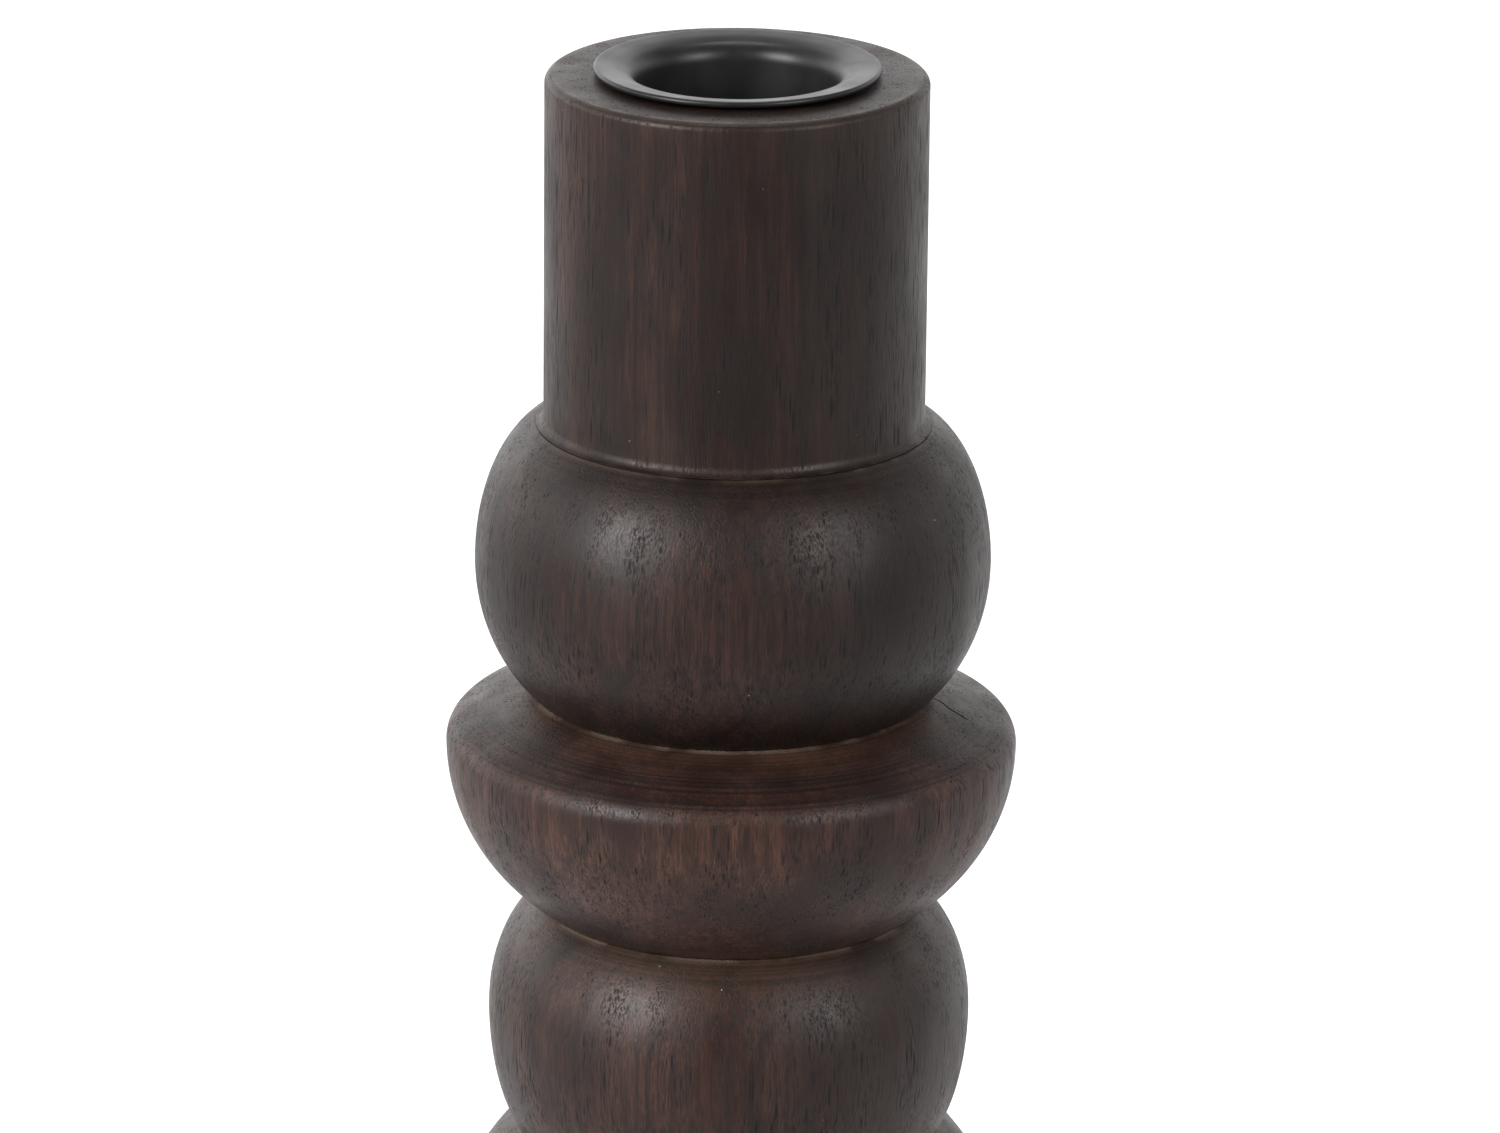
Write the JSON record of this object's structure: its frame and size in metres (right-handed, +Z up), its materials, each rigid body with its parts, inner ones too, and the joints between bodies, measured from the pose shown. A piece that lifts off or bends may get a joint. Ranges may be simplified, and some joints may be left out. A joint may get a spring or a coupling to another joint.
{
  "type": "turned wooden candlestick",
  "caption": "Dark turned wooden candlestick of stacked beads and a saucer under a straight column, with a loose black metal taper candle cup and a felt pad.",
  "frame": {"origin": "centre of the underside of the felt pad, on the surface that the candlestick stands on", "axes": "+Z up along the axis that the wood is turned about; X and Y are level and interchangeable"},
  "size_m": [0.086, 0.086, 0.2011],
  "materials": {
    "stained_wood": "dark brown stain, open pored, satin",
    "black_metal": "black satin coating on pressed sheet",
    "felt": "black wool felt",
    "dowel_wood": "unfinished beech"
  },
  "bodies": {
    "candlestick": {"top_column": "stained_wood", "upper_bead": "stained_wood", "saucer": "stained_wood", "middle_bead": "stained_wood", "large_bead": "stained_wood", "base": "stained_wood", "felt_pad": "felt", "dowel_base_to_large_bead": "dowel_wood", "dowel_large_bead_to_middle_bead": "dowel_wood", "dowel_middle_bead_to_saucer": "dowel_wood", "dowel_saucer_to_upper_bead": "dowel_wood", "dowel_upper_bead_to_top_column": "dowel_wood"},
    "cup": {"candle_cup": "black_metal"}
  },
  "joints": [
    {"name": "cup_lift", "type": "slide", "parent": "candlestick", "child": "cup", "axis": [0, 0, 1], "range_m": [0, 0.03]}
  ]
}
